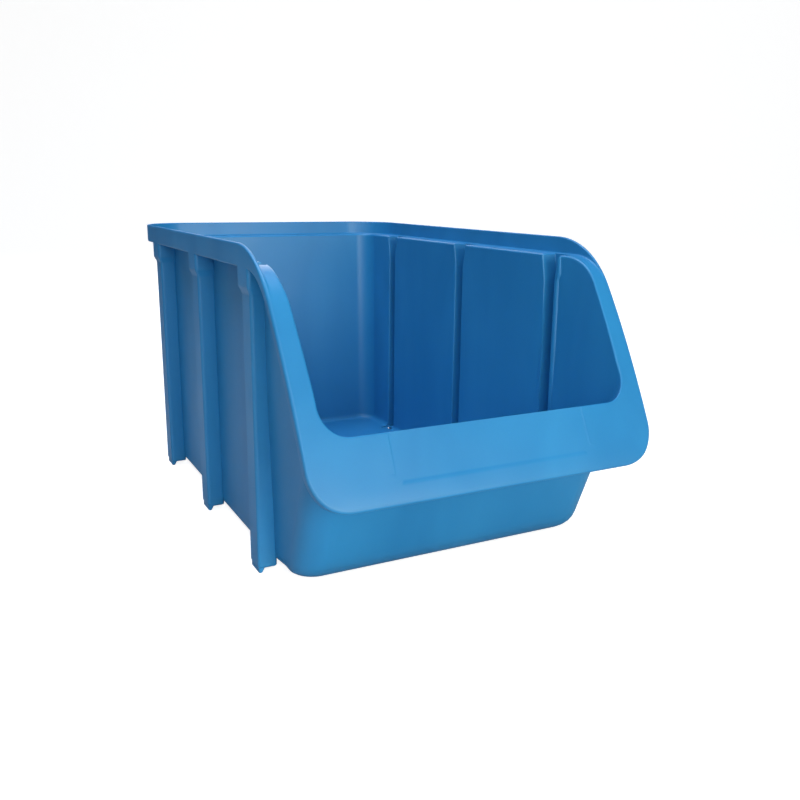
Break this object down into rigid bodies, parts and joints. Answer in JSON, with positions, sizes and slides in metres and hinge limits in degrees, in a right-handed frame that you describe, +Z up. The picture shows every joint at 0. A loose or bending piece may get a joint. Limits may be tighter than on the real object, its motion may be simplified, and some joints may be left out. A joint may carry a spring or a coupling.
{
  "type": "stackable storage bin",
  "caption": "Open-fronted moulded plastic storage bin with a stepped stacking rim, hollow side ribs and a sloping mouth flange with a label recess.",
  "frame": {"origin": "on the plane that the rib feet stand on, under the middle of the bin's overall box", "axes": "+Z up, -Y towards the open mouth, +X to the right of someone who looks at the closed rear wall through the mouth"},
  "size_m": [0.2062, 0.35, 0.177],
  "materials": {
    "polypropylene": "satin injection-moulded polypropylene, blue"
  },
  "bodies": {
    "root": {"floor_pan": "polypropylene", "front_wall": "polypropylene", "rear_wall": "polypropylene", "left_rear_panel": "polypropylene", "left_rear_middle_panel": "polypropylene", "left_front_middle_panel": "polypropylene", "left_front_panel": "polypropylene", "right_rear_panel": "polypropylene", "right_rear_middle_panel": "polypropylene", "right_front_middle_panel": "polypropylene", "right_front_panel": "polypropylene", "left_rear_rib": "polypropylene", "left_middle_rib": "polypropylene", "left_front_rib": "polypropylene", "right_rear_rib": "polypropylene", "right_middle_rib": "polypropylene", "right_front_rib": "polypropylene", "left_rim": "polypropylene", "right_rim": "polypropylene", "rear_rim": "polypropylene", "left_arm": "polypropylene", "right_arm": "polypropylene", "front_lip": "polypropylene"}
  },
  "joints": []
}
